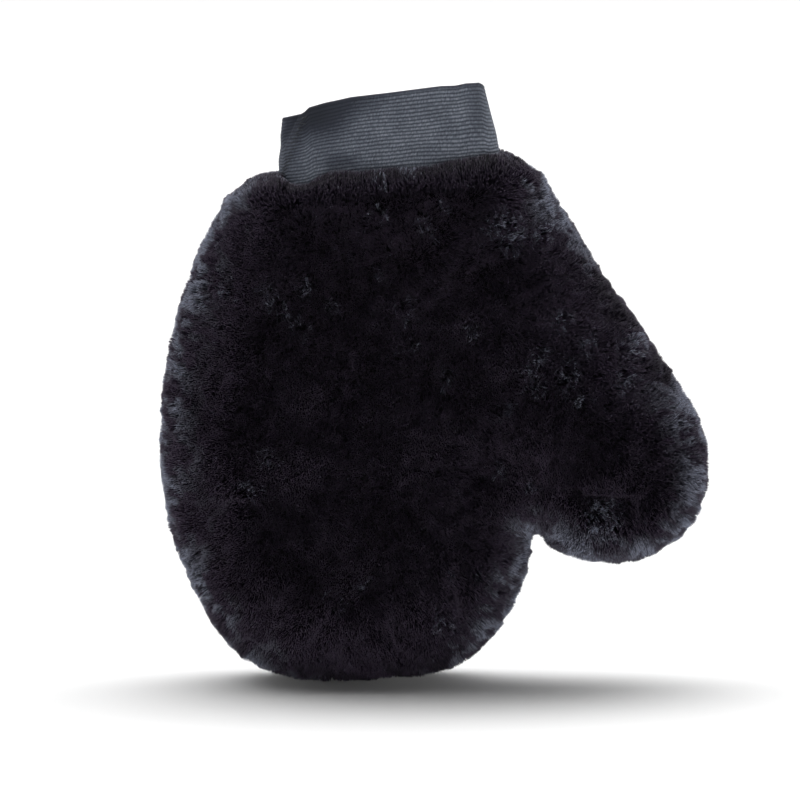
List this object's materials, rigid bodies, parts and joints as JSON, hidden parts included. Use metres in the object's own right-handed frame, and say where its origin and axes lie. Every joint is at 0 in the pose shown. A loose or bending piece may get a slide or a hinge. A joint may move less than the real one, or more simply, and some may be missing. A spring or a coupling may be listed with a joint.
{
  "type": "wash mitt",
  "caption": "Plush wash mitt with a thumb, an elastic webbing wrist cuff and a sewn-in lining, open at the cuff for the hand.",
  "frame": {"origin": "centre of the cuff's mouth, where the hand goes in", "axes": "+Z out of the cuff's mouth, along the mitt from the fingertips to the wrist; +X towards the thumb's side; -Y is the front, the face seen in the picture"},
  "size_m": [0.2526, 0.058, 0.2812],
  "materials": {
    "black_plush": "matte",
    "black_elastic": "matte",
    "black_lining": "matte",
    "black_thread": "matte"
  },
  "bodies": {
    "root": {"front_plush_panel": "black_plush", "rear_plush_panel": "black_plush", "front_lining_panel": "black_lining", "rear_lining_panel": "black_lining", "plush_seam_overlock": "black_thread", "lining_seam_overlock": "black_thread", "opening_overlock": "black_thread", "cuff_band": "black_elastic", "cuff_join_stitching": "black_thread"}
  },
  "joints": []
}
